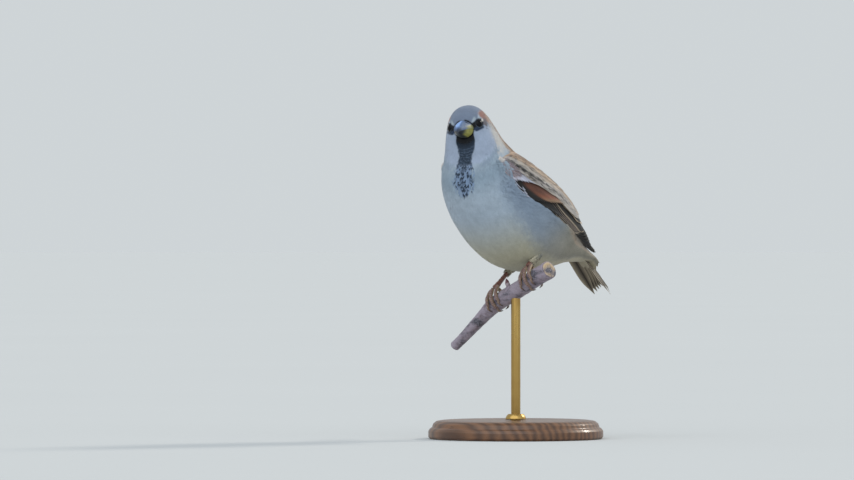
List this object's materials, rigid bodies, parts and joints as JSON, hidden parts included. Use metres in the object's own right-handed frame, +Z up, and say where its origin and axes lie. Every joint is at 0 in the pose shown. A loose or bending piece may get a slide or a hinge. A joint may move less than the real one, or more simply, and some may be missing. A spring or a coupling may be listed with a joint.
{
  "type": "male house sparrow, life-size model on a perch and display stand",
  "caption": "Life-size male house sparrow, feathers fluffed and head turned to its left, gripping a sloping cut branch held over a round wooden base by a brass rod.",
  "frame": {"origin": "centre of the flat underside of the stand's round base", "axes": "+Z up, away from the base's underside; -Y the way the bird's body faces; +X the bird's left side; the branch climbs towards +X"},
  "size_m": [0.0868, 0.1081, 0.1598],
  "materials": {
    "grey_plumage": "soft, matt",
    "brown_plumage": "soft, matt",
    "flight_feathers": "matt with a slight sheen",
    "bill_horn": "semi-gloss horn",
    "lower_bill_horn": "semi-gloss horn",
    "eye": "wet gloss",
    "leg_skin": "scaled, satin",
    "claw_horn": "satin horn",
    "bark": "weathered bark",
    "stand_wood": "satin varnish",
    "stand_brass": "brushed satin"
  },
  "bodies": {
    "root": {"bill_lower": "lower_bill_horn", "bill_upper": "bill_horn", "claw_left_hallux": "claw_horn", "claw_left_inner": "claw_horn", "claw_left_middle": "claw_horn", "claw_left_outer": "claw_horn", "claw_right_hallux": "claw_horn", "claw_right_inner": "claw_horn", "claw_right_middle": "claw_horn", "claw_right_outer": "claw_horn", "eye_left": "eye", "eye_right": "eye", "head": "grey_plumage", "neck": "grey_plumage", "perch": "bark", "stand_base": "stand_wood", "stand_collar": "stand_brass", "stand_rod": "stand_brass", "tail": "flight_feathers", "tarsus_left": "leg_skin", "tarsus_right": "leg_skin", "thigh_left": "grey_plumage", "thigh_right": "grey_plumage", "toe_left_hallux": "leg_skin", "toe_left_inner": "leg_skin", "toe_left_middle": "leg_skin", "toe_left_outer": "leg_skin", "toe_right_hallux": "leg_skin", "toe_right_inner": "leg_skin", "toe_right_middle": "leg_skin", "toe_right_outer": "leg_skin", "trunk": "grey_plumage", "wing_left_coverts": "brown_plumage", "wing_left_primaries": "flight_feathers", "wing_left_secondaries": "flight_feathers", "wing_right_coverts": "brown_plumage", "wing_right_primaries": "flight_feathers", "wing_right_secondaries": "flight_feathers"}
  },
  "joints": []
}
